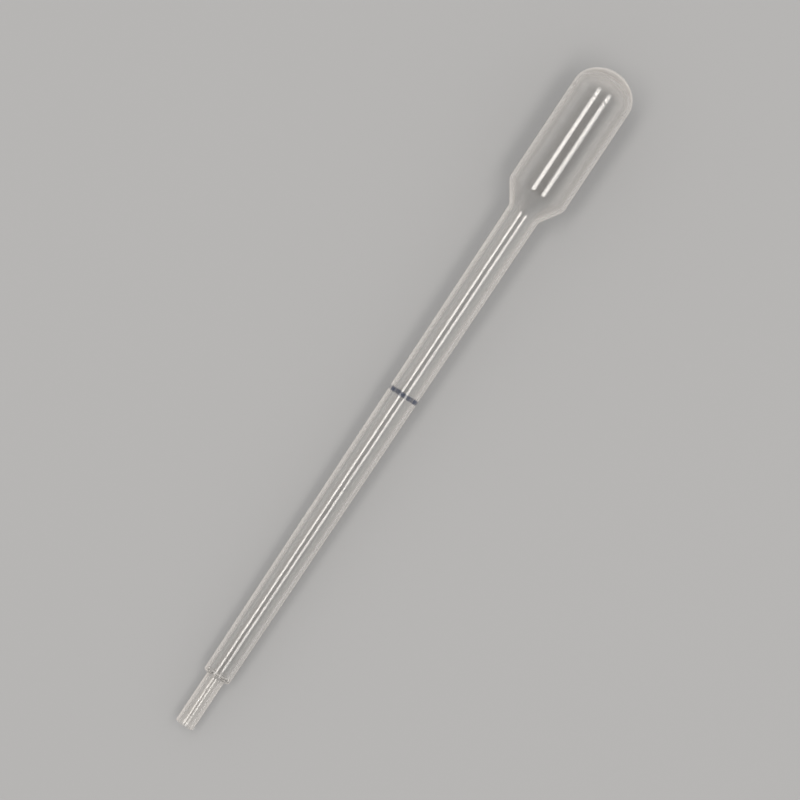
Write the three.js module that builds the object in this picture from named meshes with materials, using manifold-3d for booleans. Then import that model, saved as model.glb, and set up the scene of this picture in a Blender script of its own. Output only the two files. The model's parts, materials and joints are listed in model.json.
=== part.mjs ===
// Disposable dropper pipette: bulb, cone, stem and outlet tube blown as one piece of natural
// low-density polyethylene, open only at the outlet. It lies on its side, as it comes to rest on a
// bench: on the rim of its shoulder and on the front of its bulb, with the outlet just off the bench.
// Millimetres, +Z up, +X from the outlet towards the bulb.

import * as THREE from 'three';
import { mergeVertices } from 'three/addons/utils/BufferGeometryUtils.js';
import Module from 'manifold-3d';

const wasm = await Module();
wasm.setup();

// Lengths along the axis.
const overallLength = 100;
const tipLength = 7.4;        // narrow outlet tube, from the cut end to the shoulder
const coneLength = 2.9;       // from the stem's wide end out to the bulb
const bulbLength = 18.5;      // straight side and dome together
const domeHeight = 3.5;       // the dome is a little flatter than a half sphere

// Outside diameters.
const tipDiameter = 2.5;
const shoulderDiameter = 3.75;  // thin end of the tapering stem
const neckDiameter = 4.4;       // wide end of the stem, where the cone starts
const bulbDiameter = 8.2;

// Walls, thickest where the parison was pinched shut over the dome.
const tipWall = 0.5;
const shoulderWall = 0.5;
const stemWall = 0.5;
const coneWall = 0.45;
const bulbWall = 0.45;
const domeWall = 0.8;

// Rounds at the corners of the outside, and the softer ones that the air leaves inside.
const heelRound = 0.15;         // where the outlet tube meets the shoulder's face
const heelAirRound = 0.3;
const shoulderRound = 0.3;      // rim of the shoulder
const shoulderAirRound = 0.25;
const neckRound = 1.2;
const bulbRound = 1.5;

// What the two halves of the mould leave: a fine raised line all round, and a weld over the dome.
const partingLineHeight = 0.04;
const partingLineWidth = 0.18;
const weldHeight = 0.08;
const weldWidth = 0.6;
const weldLength = 4.4;
const weldRoot = 0.05;          // how far the weld's ends reach into the dome

// Fineness of the facets.
const sidesRound = 40;
const domeSteps = 9;
const arcStep = THREE.MathUtils.degToRad(30);
const cutClearance = 1;         // how far the cavity runs out past the cut end

const bulbStart = overallLength - bulbLength;
const coneStart = bulbStart - coneLength;
const domeStart = overallLength - domeHeight;

const naturalPolyethylene = new THREE.MeshStandardMaterial({
  name: 'natural_polyethylene',
  color: 0xd9dbd8,
  roughness: 0.35,
  metalness: 0,
  transparent: true,
  opacity: 0.6,
});

// A corner of the outside: its radius and place along the axis, its round outside and on the air
// side, and the wall under the run that leads on from it towards the bulb.
function corner(radius, along, wall, round = 0, airRound = 0) {
  return { point: new THREE.Vector2(radius, along), wall, round, airRound };
}

const outsideCorners = [
  corner(tipDiameter / 2, 0, tipWall),
  corner(tipDiameter / 2, tipLength, shoulderWall, heelRound, heelAirRound),
  corner(shoulderDiameter / 2, tipLength, stemWall, shoulderRound, shoulderAirRound),
  corner(neckDiameter / 2, coneStart, coneWall, neckRound, neckRound + stemWall),
  corner(bulbDiameter / 2, bulbStart, bulbWall, bulbRound, bulbRound - bulbWall),
  corner(bulbDiameter / 2, domeStart, bulbWall),
];

// The corners with every run moved squarely inwards by its own depth. The first and last runs are
// parallel to the axis, so their outer ends only lose radius.
function movedCorners(corners, depthOf) {
  const runs = corners.slice(1).map(({ point }, index) => {
    const start = corners[index].point;
    const direction = point.clone().sub(start).normalize();
    const inwards = new THREE.Vector2(-direction.y, direction.x);
    return { direction, start: start.clone().addScaledVector(inwards, depthOf(corners[index])) };
  });
  const last = corners.length - 1;
  return corners.map(({ point }, index) => {
    if (index === 0 || index === last) {
      const depth = depthOf(corners[index]);
      return new THREE.Vector2(point.x - depth, point.y);
    }
    const before = runs[index - 1];
    const after = runs[index];
    const gap = after.start.clone().sub(before.start);
    const reach = gap.cross(after.direction) / before.direction.cross(after.direction);
    return before.start.clone().addScaledVector(before.direction, reach);
  });
}

// Arc that touches both runs of a corner, using at most half of the shorter one.
function cornerArc(before, point, after, wantedRound) {
  const back = before.clone().sub(point);
  const ahead = after.clone().sub(point);
  const room = Math.min(back.length(), ahead.length()) / 2;
  const halfAngle = Math.abs(back.angle() - ahead.angle()) / 2;
  const opening = Math.min(halfAngle, Math.PI - halfAngle);
  const round = Math.min(wantedRound, room * Math.tan(opening));
  back.normalize();
  ahead.normalize();
  const bisector = back.clone().add(ahead).normalize();
  const centre = point.clone().addScaledVector(bisector, round / Math.sin(opening));
  const first = point.clone().addScaledVector(back, round / Math.tan(opening));
  const turn = (Math.PI - 2 * opening) * Math.sign(ahead.cross(back));
  const steps = Math.max(2, Math.ceil(Math.abs(turn) / arcStep));
  return Array.from({ length: steps + 1 }, (_, step) => (
    first.clone().rotateAround(centre, turn * step / steps)
  ));
}

// Straight runs with their rounds, then a quarter ellipse from the straight side to the axis.
function roundedOutline(points, rounds, domeTop) {
  const outline = [];
  points.forEach((point, index) => {
    if (rounds[index] > 0) {
      outline.push(...cornerArc(points[index - 1], point, points[index + 1], rounds[index]));
    } else {
      outline.push(point);
    }
  });
  const side = points[points.length - 1];
  for (let step = 1; step < domeSteps; step += 1) {
    const angle = Math.PI / 2 * step / domeSteps;
    const along = side.y + (domeTop - side.y) * Math.sin(angle);
    outline.push(new THREE.Vector2(side.x * Math.cos(angle), along));
  }
  outline.push(new THREE.Vector2(0, domeTop));
  return outline;
}

// Outside from the cut end to the top of the dome, all of it pushed out by the same amount.
function outsideOutline(grow = 0) {
  const points = movedCorners(outsideCorners, () => -grow);
  const rounds = outsideCorners.map(({ round }) => round);
  return roundedOutline(points, rounds, overallLength + grow);
}

// Air space, one wall inside the outside, from past the cut end to under the dome.
function cavityOutline() {
  const points = movedCorners(outsideCorners, ({ wall }) => wall);
  const rounds = outsideCorners.map(({ airRound }) => airRound);
  points[0].y = -cutClearance;
  return roundedOutline(points, rounds, overallLength - domeWall);
}

// Closed geometry as a solid that can be joined and cut.
function toSolid(geometry) {
  geometry.deleteAttribute('normal');
  geometry.deleteAttribute('uv');
  const merged = mergeVertices(geometry);
  const corners = merged.index.array;
  const triangles = [];
  for (let at = 0; at < corners.length; at += 3) {
    const [a, b, c] = corners.subarray(at, at + 3);
    if (a !== b && b !== c && c !== a) {
      triangles.push(a, b, c);
    }
  }
  return new wasm.Manifold(new wasm.Mesh({
    numProp: 3,
    vertProperties: new Float32Array(merged.attributes.position.array),
    triVerts: new Uint32Array(triangles),
  }));
}

// Solid back as a geometry for a mesh.
function toGeometry(solid) {
  const { vertProperties, triVerts } = solid.getMesh();
  const geometry = new THREE.BufferGeometry();
  geometry.setAttribute('position', new THREE.BufferAttribute(vertProperties, 3));
  geometry.setIndex(new THREE.BufferAttribute(triVerts, 1));
  geometry.computeVertexNormals();
  return geometry;
}

// Outline turned about the X axis and closed on it. The edges between its flat facets lie on the
// true round, and one of them is straight down, where the pipette touches the bench.
function revolved(outline) {
  const closed = [new THREE.Vector2(0, outline[0].y), ...outline];
  const geometry = new THREE.LatheGeometry(closed, sidesRound);
  geometry.rotateZ(-Math.PI / 2);
  return toSolid(geometry);
}

// Flat plate in the parting plane, centred on it.
function partingPlate(shape, width) {
  const geometry = new THREE.ExtrudeGeometry(shape, { depth: width, bevelEnabled: false });
  geometry.translate(0, 0, -width / 2);
  return toSolid(geometry);
}

// The fine line where the mould halves met, standing proud all round the outline.
function partingLine() {
  const upper = outsideOutline(partingLineHeight);
  const lower = upper.slice(0, -1).reverse();
  const shape = new THREE.Shape([
    ...upper.map(({ x, y }) => new THREE.Vector2(y, x)),
    ...lower.map(({ x, y }) => new THREE.Vector2(y, -x)),
  ]);
  return partingPlate(shape, partingLineWidth);
}

// The weld left by the pinch-off, a low crescent over the middle of the dome.
function pinchWeld() {
  const halfSpan = weldLength / 2;
  const domeRadius = bulbDiameter / 2;
  const edge = domeStart + domeHeight * Math.sqrt(1 - (halfSpan / domeRadius) ** 2) - weldRoot;
  const rise = overallLength + weldHeight - edge;
  const arcRadius = (halfSpan ** 2 + rise ** 2) / (2 * rise);
  const halfAngle = Math.asin(halfSpan / arcRadius);
  const shape = new THREE.Shape();
  shape.absarc(edge + rise - arcRadius, 0, arcRadius, -halfAngle, halfAngle);
  shape.closePath();
  return partingPlate(shape, weldWidth);
}

// The whole moulding: outside and what the mould leaves on it, less the air space.
function pipetteGeometry() {
  const outside = revolved(outsideOutline()).add(partingLine()).add(pinchWeld());
  return toGeometry(outside.subtract(revolved(cavityOutline())));
}

// Slope of the axis at rest. The pipette lies on one point of its front part and one of its bulb,
// and of all such pairs the lowest is the one whose line stands furthest off the middle of the stem.
function restingTilt() {
  const stemMiddle = (tipLength + coneStart) / 2;
  const outline = outsideOutline();
  const front = outline.filter((point) => point.y < stemMiddle);
  const back = outline.filter((point) => point.y > stemMiddle);
  let furthest = 0;
  let tilt = 0;
  for (const near of front) {
    for (const far of back) {
      const slope = (far.x - near.x) / (far.y - near.y);
      const standOff = near.x + slope * (stemMiddle - near.y);
      if (standOff > furthest) {
        furthest = standOff;
        tilt = Math.atan(slope);
      }
    }
  }
  return tilt;
}

const pipette = new THREE.Mesh(pipetteGeometry(), naturalPolyethylene);
pipette.name = 'pipette';
pipette.rotation.y = -restingTilt();

// Origin on the bench, under the middle of the pipette.
const dropperPipette = new THREE.Group();
dropperPipette.add(pipette);
const box = new THREE.Box3().setFromObject(dropperPipette, true);
const middle = box.getCenter(new THREE.Vector3());
pipette.position.set(-middle.x, -middle.y, -box.min.z);
dropperPipette.updateMatrixWorld(true);

export default dropperPipette;
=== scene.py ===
import json
import math

import bpy
import numpy as np
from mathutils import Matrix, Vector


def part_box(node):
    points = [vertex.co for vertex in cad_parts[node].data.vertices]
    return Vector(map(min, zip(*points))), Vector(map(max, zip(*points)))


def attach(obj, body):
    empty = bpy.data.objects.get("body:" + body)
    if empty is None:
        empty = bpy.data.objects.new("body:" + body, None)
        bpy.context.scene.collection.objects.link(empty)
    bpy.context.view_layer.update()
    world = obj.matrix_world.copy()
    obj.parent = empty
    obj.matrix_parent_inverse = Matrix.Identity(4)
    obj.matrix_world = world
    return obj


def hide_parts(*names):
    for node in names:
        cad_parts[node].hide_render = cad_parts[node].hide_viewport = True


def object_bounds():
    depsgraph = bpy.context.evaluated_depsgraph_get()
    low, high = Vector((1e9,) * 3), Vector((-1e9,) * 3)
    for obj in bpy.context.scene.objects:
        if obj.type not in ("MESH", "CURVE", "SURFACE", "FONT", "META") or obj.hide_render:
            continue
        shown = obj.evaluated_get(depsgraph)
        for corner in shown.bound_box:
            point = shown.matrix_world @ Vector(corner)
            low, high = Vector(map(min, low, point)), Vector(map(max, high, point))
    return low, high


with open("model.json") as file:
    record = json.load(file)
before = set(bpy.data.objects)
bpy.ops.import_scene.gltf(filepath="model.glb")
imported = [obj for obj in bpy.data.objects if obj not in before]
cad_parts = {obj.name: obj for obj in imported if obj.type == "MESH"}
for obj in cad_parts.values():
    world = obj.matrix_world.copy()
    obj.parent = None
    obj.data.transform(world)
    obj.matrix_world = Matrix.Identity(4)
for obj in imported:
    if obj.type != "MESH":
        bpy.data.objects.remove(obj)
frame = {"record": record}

mm = 0.001
cadLow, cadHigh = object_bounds()
pipetteLow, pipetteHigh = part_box("pipette")
middle = (pipetteLow + pipetteHigh) / 2
outlet = next(m for m in frame["record"]["mounts"] if m["name"] == "outlet_end")

# camera: straight down on the bench, the bulb to the upper right
view = {
    "lens": 150.0,            # millimetres, long, so that the pipette is seen almost square on
    "sensor": 36.0,           # millimetres
    "lean": 33.6,             # degrees from upright that the pipette leans in the picture
    "frameWidth": 102 * mm,   # what the picture shows across
}


def makeCamera():
    cameraData = bpy.data.cameras.new("camera")
    cameraData.lens = view["lens"]
    cameraData.sensor_width = view["sensor"]
    camera = bpy.data.objects.new("camera", cameraData)
    bpy.context.scene.collection.objects.link(camera)
    height = view["frameWidth"] * view["lens"] / view["sensor"]
    camera.location = (middle.x, middle.y, middle.z + height)
    camera.rotation_euler = (0.0, 0.0, math.radians(view["lean"] - 90))
    bpy.context.scene.camera = camera


makeCamera()
print("camera placed")


# shader maths: a Wire is a socket that adds, multiplies and divides as a number does
class Wire:
    def __init__(self, tree, socket):
        self.tree = tree
        self.socket = socket

    def maths(self, operation, *others):
        return self.tree.node("ShaderNodeMath", {"operation": operation},
                              {0: self, **{i + 1: other for i, other in enumerate(others)}})

    def __add__(self, other):
        return self.maths("ADD", other)

    def __radd__(self, other):
        return self.maths("ADD", other)

    def __sub__(self, other):
        return self.maths("SUBTRACT", other)

    def __rsub__(self, other):
        return self.tree.node("ShaderNodeMath", {"operation": "SUBTRACT"}, {0: other, 1: self})

    def __mul__(self, other):
        return self.maths("MULTIPLY", other)

    def __rmul__(self, other):
        return self.maths("MULTIPLY", other)

    def __truediv__(self, other):
        return self.maths("DIVIDE", other)

    def __pow__(self, power):
        return self.maths("POWER", power)

    def __abs__(self):
        return self.maths("ABSOLUTE")


class NodeTree:
    def __init__(self, owner):
        # owner is a material or a world
        owner.use_nodes = True
        self.nodes = owner.node_tree.nodes
        self.links = owner.node_tree.links
        self.nodes.clear()

    def node(self, kind, settings=None, sockets=None, out=0):
        made = self.nodes.new(kind)
        for name, value in (settings or {}).items():
            setattr(made, name, value)
        for name, value in (sockets or {}).items():
            if isinstance(value, Wire):
                self.links.new(value.socket, made.inputs[name])
            else:
                made.inputs[name].default_value = value
        return Wire(self, made.outputs[out]) if made.outputs else None

    def ramp(self, value, start, end, low, high):
        # low where value is below start, high above end, and smooth between
        return self.node("ShaderNodeMapRange", {"interpolation_type": "SMOOTHSTEP"},
                         {0: value, 1: start, 2: end, 3: low, 4: high})

    def noise(self, coordinates, scale, detail=2.0):
        # noise from about -0.5 to 0.5, finer along the axes where scale is larger
        stretched = self.node("ShaderNodeMapping", None, {"Vector": coordinates, "Scale": scale})
        return self.node("ShaderNodeTexNoise", None, {"Vector": stretched, "Scale": 1.0,
                                                      "Detail": detail}) - 0.5

    def surface(self, shader):
        self.node("ShaderNodeOutputMaterial", None, {"Surface": shader})


# bench and light
studio = {
    "benchColour": (0.45, 0.45, 0.45),
    "benchRoughness": 0.7,
    "benchGloss": 0.2,
    "benchSize": 3.0,
    "worldColour": (0.985, 0.99, 1.0),
    "worldStrength": 0.17,           # straight overhead
    "worldHorizon": 0.58,            # what is added towards the horizon
    "stripHeight": 0.62,
    "stripAcross": (-0.27, 0.24),    # how far each strip lamp stands to the side of the pipette
    "stripSize": (0.62, 0.16),       # along and across the pipette
    "stripPower": 1.6,
    "stripColour": (1.0, 0.965, 0.925),
}


def makeBench():
    half = studio["benchSize"] / 2
    corners = [(-half, -half, cadLow.z), (half, -half, cadLow.z),
               (half, half, cadLow.z), (-half, half, cadLow.z)]
    mesh = bpy.data.meshes.new("bench")
    mesh.from_pydata(corners, [], [(0, 1, 2, 3)])
    bench = bpy.data.objects.new("bench", mesh)
    bpy.context.scene.collection.objects.link(bench)
    material = bpy.data.materials.new("bench_top")
    tree = NodeTree(material)
    tree.surface(tree.node("ShaderNodeBsdfPrincipled", None, {
        "Base Color": (*studio["benchColour"], 1.0),
        "Roughness": studio["benchRoughness"],
        "Specular IOR Level": studio["benchGloss"],
    }))
    mesh.materials.append(material)


def makeWorld():
    # dim overhead and brighter towards the horizon: strength = overhead + horizon * (1 - up * up)
    world = bpy.data.worlds.new("studio")
    bpy.context.scene.world = world
    tree = NodeTree(world)
    direction = tree.node("ShaderNodeTexCoord", out=0)
    up = tree.node("ShaderNodeSeparateXYZ", None, {0: direction}, out=2)
    brightness = studio["worldStrength"] + studio["worldHorizon"] * (1 - up * up)
    background = tree.node("ShaderNodeBackground", None, {
        "Color": (*studio["worldColour"], 1.0), "Strength": brightness})
    tree.node("ShaderNodeOutputWorld", None, {"Surface": background})


def makeStrip(name, side):
    # long lamp above the pipette and to one side of it, turned to face it
    stripData = bpy.data.lights.new(name, "AREA")
    stripData.shape = "RECTANGLE"
    stripData.size, stripData.size_y = studio["stripSize"]
    stripData.energy = studio["stripPower"]
    stripData.color = studio["stripColour"]
    strip = bpy.data.objects.new(name, stripData)
    bpy.context.scene.collection.objects.link(strip)
    strip.location = (middle.x, middle.y + side, studio["stripHeight"])
    strip.rotation_euler = (-math.atan2(side, studio["stripHeight"]), 0.0, 0.0)


makeBench()
makeWorld()
for number, side in enumerate(studio["stripAcross"]):
    makeStrip(f"strip{number}", side)
bpy.context.scene.view_settings.view_transform = "Standard"
print("bench and light made")


# the moulding's own sizes; where it lies comes from the frame
moulding = {
    "length": 100 * mm,
    "tipLength": 7.4 * mm,
    "coneLength": 2.9 * mm,
    "bulbLength": 18.5 * mm,
    "domeHeight": 3.5 * mm,
    "tipRadius": 1.25 * mm,
    "shoulderRadius": 1.875 * mm,
    "neckRadius": 2.2 * mm,
    "bulbRadius": 4.1 * mm,
    "tipWall": 0.5 * mm,
    "shoulderWall": 0.5 * mm,
    "stemWall": 0.5 * mm,
    "coneWall": 0.45 * mm,
    "bulbWall": 0.45 * mm,
    "domeWall": 0.8 * mm,
    "heelRounds": (0.15 * mm, 0.3 * mm),       # outside, then on the air side
    "shoulderRounds": (0.3 * mm, 0.25 * mm),
    "neckRounds": (1.2 * mm, 1.7 * mm),
    "bulbRounds": (1.5 * mm, 1.05 * mm),
    "cutEdge": 0.04 * mm,                      # tiny round that the knife leaves at the outlet
    "arcSteps": 12,
    "domeSteps": 48,
    "runSteps": 14,
    "edgeSteps": 4,
    "sides": 128,
}

# what the mould and the air leave on the skin
relief = {
    "partingHeight": 0.03 * mm,
    "partingHalfWidth": 0.09 * mm,
    "partingSides": 9,                         # extra sides on each half of each parting line
    "partingReach": 1.2,                       # half widths that those sides cover at the outlet
    "partingCrowding": 1.6,                    # how much closer they stand in the line's middle
    "lineFade": 0.3 * mm,                      # over which the lines rise from the cut end
    "weldHeight": 0.06 * mm,
    "weldHalfWidth": 0.3 * mm,
    "weldHalfLength": 2.2 * mm,
    "weldCrest": 1.5,                          # above 1, the weld is flat on top
    "insertPlace": 4.3 * mm,                   # below the top, where the dome's own mould insert meets
    "insertDepth": 0.05 * mm,
    "insertHalfWidth": 0.09 * mm,
    "insertReach": 2.5,                        # half widths to each side that get extra rings
    "insertRings": 13,
    "rippleHeight": 0.004 * mm,                # how uneven the air leaves the wall
    "rippleLength": 18 * mm,                   # shortest wave along the wall
    "rippleTurns": 5,                          # most waves round the wall
    "rippleSeed": 5,
}


def straightRun(start, end):
    # points from start to end, close together near both ends: share = (1 - cos(pi t)) / 2
    t = np.linspace(0, 1, moulding["runSteps"] + 1)
    share = (1 - np.cos(np.pi * t))[:, None] / 2
    return start + (end - start) * share


def cornerArc(before, corner, after, radius):
    # arc of the given radius that touches both runs of a corner
    back = (before - corner) / np.linalg.norm(before - corner)
    ahead = (after - corner) / np.linalg.norm(after - corner)
    opening = math.acos(np.dot(back, ahead)) / 2
    centre = corner + (back + ahead) / np.linalg.norm(back + ahead) * radius / math.sin(opening)
    first = corner + back * radius / math.tan(opening) - centre
    turn = (math.pi - 2 * opening) * np.sign(ahead[0] * back[1] - ahead[1] * back[0])
    angle = np.linspace(0, turn, moulding["arcSteps"] + 1)
    return centre + np.stack([first[0] * np.cos(angle) - first[1] * np.sin(angle),
                              first[0] * np.sin(angle) + first[1] * np.cos(angle)], axis=1)


def roundedOutline(corners, rounds):
    # straight runs through the corners (radius, along), each rounded corner an arc
    pieces = [corners[:1]]
    for index in range(1, len(corners) - 1):
        arc = cornerArc(corners[index - 1], corners[index], corners[index + 1], rounds[index])
        pieces += [straightRun(pieces[-1][-1], arc[0])[1:], arc[1:]]
    pieces.append(straightRun(pieces[-1][-1], corners[-1])[1:])
    return np.concatenate(pieces)


def domeArc(side, top):
    # quarter ellipse from the straight side to the axis: radius cos t, height sin t
    t = np.linspace(0, math.pi / 2, moulding["domeSteps"] + 1)[1:]
    return np.stack([side[0] * np.cos(t), side[1] + (top - side[1]) * np.sin(t)], axis=1)


def offsetCorners(corners, depths):
    # each run moved squarely inwards by its own depth, and the corners where the runs then meet
    step = np.diff(corners, axis=0)
    along = step / np.linalg.norm(step, axis=1)[:, None]
    starts = corners[:-1] + np.stack([-along[:, 1], along[:, 0]], axis=1) * depths[:, None]
    gap = starts[1:] - starts[:-1]
    before, after = along[:-1], along[1:]
    crossed = before[:, 0] * after[:, 1] - before[:, 1] * after[:, 0]
    reach = (gap[:, 0] * after[:, 1] - gap[:, 1] * after[:, 0]) / crossed
    inner = starts[:-1] + before * reach[:, None]
    last = corners[-1] - (depths[-1], 0)
    return np.concatenate([starts[:1], inner, [last]])


def withInsertRings(outside):
    # more points on the bulb's straight side, where the insert's line crosses it
    spread = np.linspace(-relief["insertReach"], relief["insertReach"], relief["insertRings"])
    close = moulding["length"] - relief["insertPlace"] + spread * relief["insertHalfWidth"]
    places = np.searchsorted(outside[:, 1], close)
    extra = np.stack([0 * close + moulding["bulbRadius"], close], axis=1)
    return np.insert(outside, places, extra, axis=0)


def mouldingOutline():
    # the whole skin: from the top of the dome down the outside, then over the cut end and up the air side
    m = moulding
    bulbStart = m["length"] - m["bulbLength"]
    coneStart = bulbStart - m["coneLength"]
    domeStart = m["length"] - m["domeHeight"]
    corners = np.array([
        (m["tipRadius"], 0),
        (m["tipRadius"], m["tipLength"]),
        (m["shoulderRadius"], m["tipLength"]),
        (m["neckRadius"], coneStart),
        (m["bulbRadius"], bulbStart),
        (m["bulbRadius"], domeStart),
    ])
    walls = np.array([m[k] for k in ("tipWall", "shoulderWall", "stemWall", "coneWall", "bulbWall")])
    rounds = [(0, 0), m["heelRounds"], m["shoulderRounds"], m["neckRounds"], m["bulbRounds"], (0, 0)]
    airCorners = offsetCorners(corners, walls)
    outside = roundedOutline(corners, [r[0] for r in rounds])
    airSide = roundedOutline(airCorners, [r[1] for r in rounds])
    outside = withInsertRings(np.concatenate([outside, domeArc(corners[-1], m["length"])]))
    airSide = np.concatenate([airSide, domeArc(airCorners[-1], m["length"] - m["domeWall"])])

    # quarter rounds at both rims of the cut end
    edge = m["cutEdge"]
    t = np.linspace(0, math.pi / 2, m["edgeSteps"] + 1)
    outerEdge = np.stack([outside[0, 0] - edge + edge * np.cos(t), edge - edge * np.sin(t)], axis=1)
    innerEdge = np.stack([airSide[0, 0] + edge - edge * np.sin(t), edge - edge * np.cos(t)], axis=1)
    return np.concatenate([outside[::-1][:-1], outerEdge]), np.concatenate([innerEdge, airSide[1:]])


def roundAngles():
    # angles round the axis, evenly spaced, with finer ones across the two parting lines
    even = np.linspace(0, 2 * math.pi, moulding["sides"], endpoint=False)
    fine = np.linspace(-1, 1, relief["partingSides"] * 2 + 1)
    widest = relief["partingReach"] * relief["partingHalfWidth"] / moulding["tipRadius"]
    close = np.sign(fine) * np.abs(fine) ** relief["partingCrowding"] * widest
    angles = np.concatenate([even, close % (2 * math.pi), close + math.pi])

    # rounded, so that two that all but meet count as one
    angles = np.unique(np.round(angles, 5))
    return angles[angles < 2 * math.pi - 1e-4]


def softStep(value):
    # 0 below 0, 1 above 1, and smooth between
    value = np.clip(value, 0, 1)
    return value * value * (3 - 2 * value)


def ripple(along, angles):
    # slow waves, each cos(turns * angle + waves * along + phase), as large together as 1 or so
    random = np.random.default_rng(relief["rippleSeed"])
    total = 0 * along
    for turns in range(1, relief["rippleTurns"] + 1):
        waves = random.uniform(-1, 1) * 2 * math.pi / relief["rippleLength"]
        total = total + np.cos(turns * angles + waves * along + random.uniform(0, 2 * math.pi))
    return 2 * total / relief["rippleTurns"]


def skinRelief(radius, along, angles, onOutside):
    # how far each point stands off the smooth skin: the mould's lines outside, the ripple inside
    offPlane = np.abs(radius * np.sin(angles))
    line = softStep(1 - offPlane / relief["partingHalfWidth"]) * relief["partingHeight"]
    across = radius * np.cos(angles) / relief["weldHalfLength"]
    nearTop = along > moulding["length"] - moulding["domeHeight"]
    weld = (softStep((1 - offPlane / relief["weldHalfWidth"]) * relief["weldCrest"])
            * softStep((1 - across ** 2) * relief["weldCrest"]) * relief["weldHeight"] * nearTop)
    fromInsert = (along - moulding["length"] + relief["insertPlace"]) / relief["insertHalfWidth"]
    insert = np.exp(-fromInsert ** 2) * relief["insertDepth"]
    lines = (np.maximum(line, weld) - insert) * softStep(along / relief["lineFade"])
    waves = ripple(along, angles) * relief["rippleHeight"] * radius / moulding["bulbRadius"]
    return np.where(onOutside, lines, waves)


def ringPoints(along, radius, angles, ends):
    # (along, radius cos angle, radius sin angle) ring by ring, then the two ends on the axis
    rings = np.broadcast_arrays(along, radius * np.cos(angles), radius * np.sin(angles))
    return np.concatenate([np.stack(rings, axis=-1).reshape(-1, 3), ends])


def skinFaces(rings, sides):
    # quads between neighbouring rings, and a fan of triangles at each end on the axis
    ring, side = np.meshgrid(np.arange(rings - 1), np.arange(sides), indexing="ij")
    nextSide = (side + 1) % sides
    quads = np.stack([ring * sides + side, (ring + 1) * sides + side,
                      (ring + 1) * sides + nextSide, ring * sides + nextSide], axis=-1).reshape(-1, 4)
    first = np.arange(sides)
    second = (first + 1) % sides
    lastRing = (rings - 1) * sides
    topFan = np.stack([np.full(sides, rings * sides), first, second], axis=1)
    airFan = np.stack([np.full(sides, rings * sides + 1), lastRing + second, lastRing + first], axis=1)
    return quads.tolist() + topFan.tolist() + airFan.tolist()


def lyingOnBench(own):
    # from the moulding's own axes (along it, across it in the parting plane, up) to where it lies
    forward = -np.array(outlet["axis"])
    sideways = np.array((0.0, 1.0, 0.0))
    start = np.array((outlet["pos_m"][0], middle.y, outlet["pos_m"][2]))
    return start + own @ np.stack([forward, sideways, np.cross(forward, sideways)])


def addAttribute(mesh, name, kind, field, values):
    layer = mesh.attributes.new(name, kind, "POINT")
    layer.data.foreach_set(field, values.astype(np.float32).ravel())


def makePipette():
    outside, airSide = mouldingOutline()
    outline = np.concatenate([outside, airSide])
    angles = roundAngles()
    onOutside = (np.arange(1, len(outline) - 1) < len(outside))[:, None]

    # slope of the outline, which gives the direction square to the skin
    slope = np.gradient(outline, axis=0)
    slope /= np.linalg.norm(slope, axis=1)[:, None]
    square = np.stack([-slope[:, 1], slope[:, 0]], axis=1)[1:-1]

    # ring by ring: radius and place along the axis, moved off the smooth skin by the relief
    radius = outline[1:-1, :1] + 0 * angles
    along = outline[1:-1, 1:] + 0 * angles
    lift = skinRelief(radius, along, angles, onOutside)
    radius = radius + square[:, :1] * lift
    along = along + square[:, 1:] * lift
    ends = [(outline[0, 1] + relief["weldHeight"], 0, 0), (outline[-1, 1], 0, 0)]
    own = ringPoints(along, radius, angles, ends)

    mesh = bpy.data.meshes.new("pipette_skin")
    mesh.from_pydata(lyingOnBench(own), [], skinFaces(*radius.shape))
    mesh.shade_smooth()

    # for the plastic's patterns: each point in the moulding's own axes, the same on a tube as wide as
    # the neck all along, as it was before it was blown, and 1 on the outside
    drawn = ringPoints(along, moulding["neckRadius"], angles, ends)
    outer = np.append((onOutside + 0 * angles).ravel(), [1, 0])
    addAttribute(mesh, "ownPlace", "FLOAT_VECTOR", "vector", own)
    addAttribute(mesh, "drawnPlace", "FLOAT_VECTOR", "vector", drawn)
    addAttribute(mesh, "outer", "FLOAT", "value", outer)

    skin = bpy.data.objects.new("pipette_skin", mesh)
    bpy.context.scene.collection.objects.link(skin)
    return skin


plastic = {
    "clearColour": (0.98, 0.976, 0.967),
    "milkColour": (0.95, 0.895, 0.835),
    "milk": 0.06,                       # how milky each face of the wall is, seen square on
    "edgeMilkAndRimHighlight": 1.9,                    # what is added where the wall is seen edge on: partly more milk along the longer path through the wall, partly a painted highlight along the rims
    "edgePower": 4.2,
    "domeMilk": 0.25,                   # what is added at the top of the dome, where the wall is thick
    "tipMilk": 0.14,                    # what is added on the outlet tube, where the bore is narrow
    "streaks": 1.0,                     # lines drawn along the soft tube before it was blown
    "bulbStreaks": 0.3,                 # how much of them is left on the bulb, where the wall is stretched
    "streakScale": (3.0, 650.0, 650.0),
    "clouds": 0.04,                     # uneven milkiness
    "cloudScale": (160.0, 260.0, 260.0),
    "roughness": 0.09,
    "roughnessClouds": 0.04,
    "ior": 1.51,
    "sheen": 0.3,
    "sheenRoughness": 0.2,
    "waveScale": (25.0, 300.0, 300.0),  # slow unevenness of the skin
    "waveDepth": 0.0012 * mm,
    "shadeColour": (0.74, 0.74, 0.74),  # what each face of the wall lets through to lamp and bench
}

# ring of ink printed round the stem
ring = {
    "place": 50.8 * mm,                 # from the outlet
    "halfWidth": 0.29 * mm,
    "soft": 0.5,                        # how soft its edge is, in half widths
    "uneven": 0.5,                      # how far its edge wanders in all, in half widths
    "unevenScale": (500.0, 900.0, 900.0),
    "colour": (0.03, 0.045, 0.09),
    "cover": 0.82,
    "thinCover": 0.35,                  # where the ink all but missed a groove of the skin
    "grooveScale": (10.0, 1300.0, 1300.0),
    "grooveEdge": 0.06,                 # how far to each side of the noise's middle the ink thins
}


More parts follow.
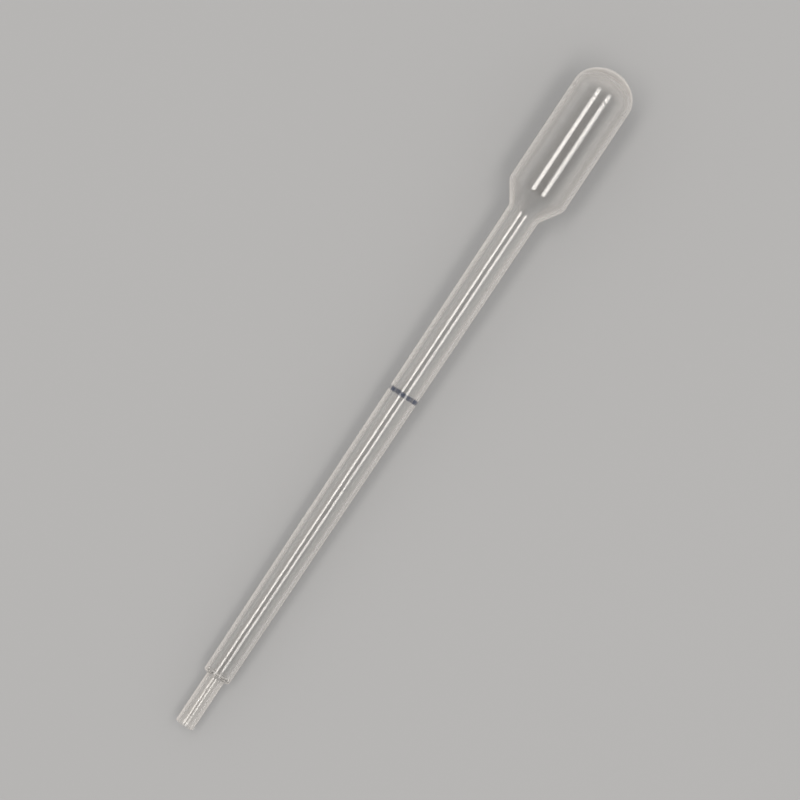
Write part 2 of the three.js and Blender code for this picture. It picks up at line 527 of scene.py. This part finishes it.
def milkinessAndRimHighlight(tree, drawn, outer, along, clouds):
    # share of milky plastic in each face of the wall: more where it is thick and where it is drawn out,
    # and more where it is seen edge on, which is partly the longer path through milky plastic and partly a
    # painted highlight along the rims
    bulbStart = moulding["length"] - moulding["bulbLength"]
    coneStart = bulbStart - moulding["coneLength"]
    domeStart = moulding["length"] - moulding["domeHeight"]
    shoulderStart = moulding["tipLength"] - moulding["shoulderWall"]
    onTip = tree.ramp(along, shoulderStart, moulding["tipLength"], 1.0, 0.0)
    onDome = tree.ramp(along, domeStart, moulding["length"], 0.0, 1.0)
    unstretched = tree.ramp(along, coneStart, bulbStart, 1.0, plastic["bulbStreaks"])
    streaks = tree.noise(drawn, plastic["streakScale"], detail=0.0) * outer * unstretched * (1 - onDome)
    # whiter towards the silhouettes: partly the longer path through the milky wall, partly a painted
    # highlight along the rims
    edgeOn = tree.node("ShaderNodeLayerWeight", None, {"Blend": 0.5}, out=1)
    return (plastic["milk"] + plastic["edgeMilkAndRimHighlight"] * edgeOn ** plastic["edgePower"]
            + plastic["domeMilk"] * onDome * outer + plastic["tipMilk"] * onTip
            + plastic["streaks"] * streaks + plastic["clouds"] * clouds)


def inkCover(tree, own, drawn, outer, along):
    # how well the ink hides the plastic: on the outside only, thinner where it missed a groove
    fromMiddle = abs((along - ring["place"]) / ring["halfWidth"])
    fromMiddle = fromMiddle + ring["uneven"] * tree.noise(own, ring["unevenScale"])
    onRing = tree.ramp(fromMiddle, 1 - ring["soft"] / 2, 1 + ring["soft"] / 2, 1.0, 0.0)
    grooves = tree.noise(drawn, ring["grooveScale"], detail=0.0)
    return onRing * outer * tree.ramp(grooves, -ring["grooveEdge"], ring["grooveEdge"],
                                      ring["thinCover"], ring["cover"])


def makePlastic():
    material = bpy.data.materials.new("natural_polyethylene")
    tree = NodeTree(material)
    own = tree.node("ShaderNodeAttribute", {"attribute_name": "ownPlace"}, out=1)
    drawn = tree.node("ShaderNodeAttribute", {"attribute_name": "drawnPlace"}, out=1)
    outer = tree.node("ShaderNodeAttribute", {"attribute_name": "outer"}, out=2)
    along = tree.node("ShaderNodeSeparateXYZ", None, {0: own})
    clouds = tree.noise(own, plastic["cloudScale"])
    waves = tree.noise(own, plastic["waveScale"], detail=1.0)
    roughness = plastic["roughness"] + plastic["roughnessClouds"] * clouds
    bump = tree.node("ShaderNodeBump", None, {"Distance": plastic["waveDepth"], "Height": waves})
    shared = {"Sheen Weight": plastic["sheen"], "Sheen Roughness": plastic["sheenRoughness"],
              "Roughness": roughness, "IOR": plastic["ior"], "Normal": bump}

    clear = tree.node("ShaderNodeBsdfPrincipled", None, {
        "Base Color": (*plastic["clearColour"], 1.0), "Transmission Weight": 1.0, **shared})
    milk = tree.node("ShaderNodeBsdfPrincipled", None, {
        "Base Color": (*plastic["milkColour"], 1.0), **shared})
    ink = tree.node("ShaderNodeBsdfPrincipled", None, {
        "Base Color": (*ring["colour"], 1.0), **shared})
    # the milky share carries the painted rim highlight where the wall is seen edge on
    milkAndRimHighlightShare = milkinessAndRimHighlight(tree, drawn, outer, along, clouds)
    wall = tree.node("ShaderNodeMixShader", None, {0: milkAndRimHighlightShare, 1: clear, 2: milk})

    # a tinted, see-through wall for rays 1, towards a lamp, and 2, from a matt surface such as the bench
    letThrough = tree.node("ShaderNodeBsdfTransparent", None, {"Color": (*plastic["shadeColour"], 1.0)})
    for rays in (1, 2):
        onlyThose = tree.node("ShaderNodeLightPath", out=rays)
        wall = tree.node("ShaderNodeMixShader", None, {0: onlyThose, 1: wall, 2: letThrough})
    printed = inkCover(tree, own, drawn, outer, along)
    tree.surface(tree.node("ShaderNodeMixShader", None, {0: printed, 1: wall, 2: ink}))
    return material


skin = makePipette()
skin.data.materials.append(makePlastic())
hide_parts("pipette")
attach(skin, "root")
print("pipette made:", len(skin.data.polygons), "faces")
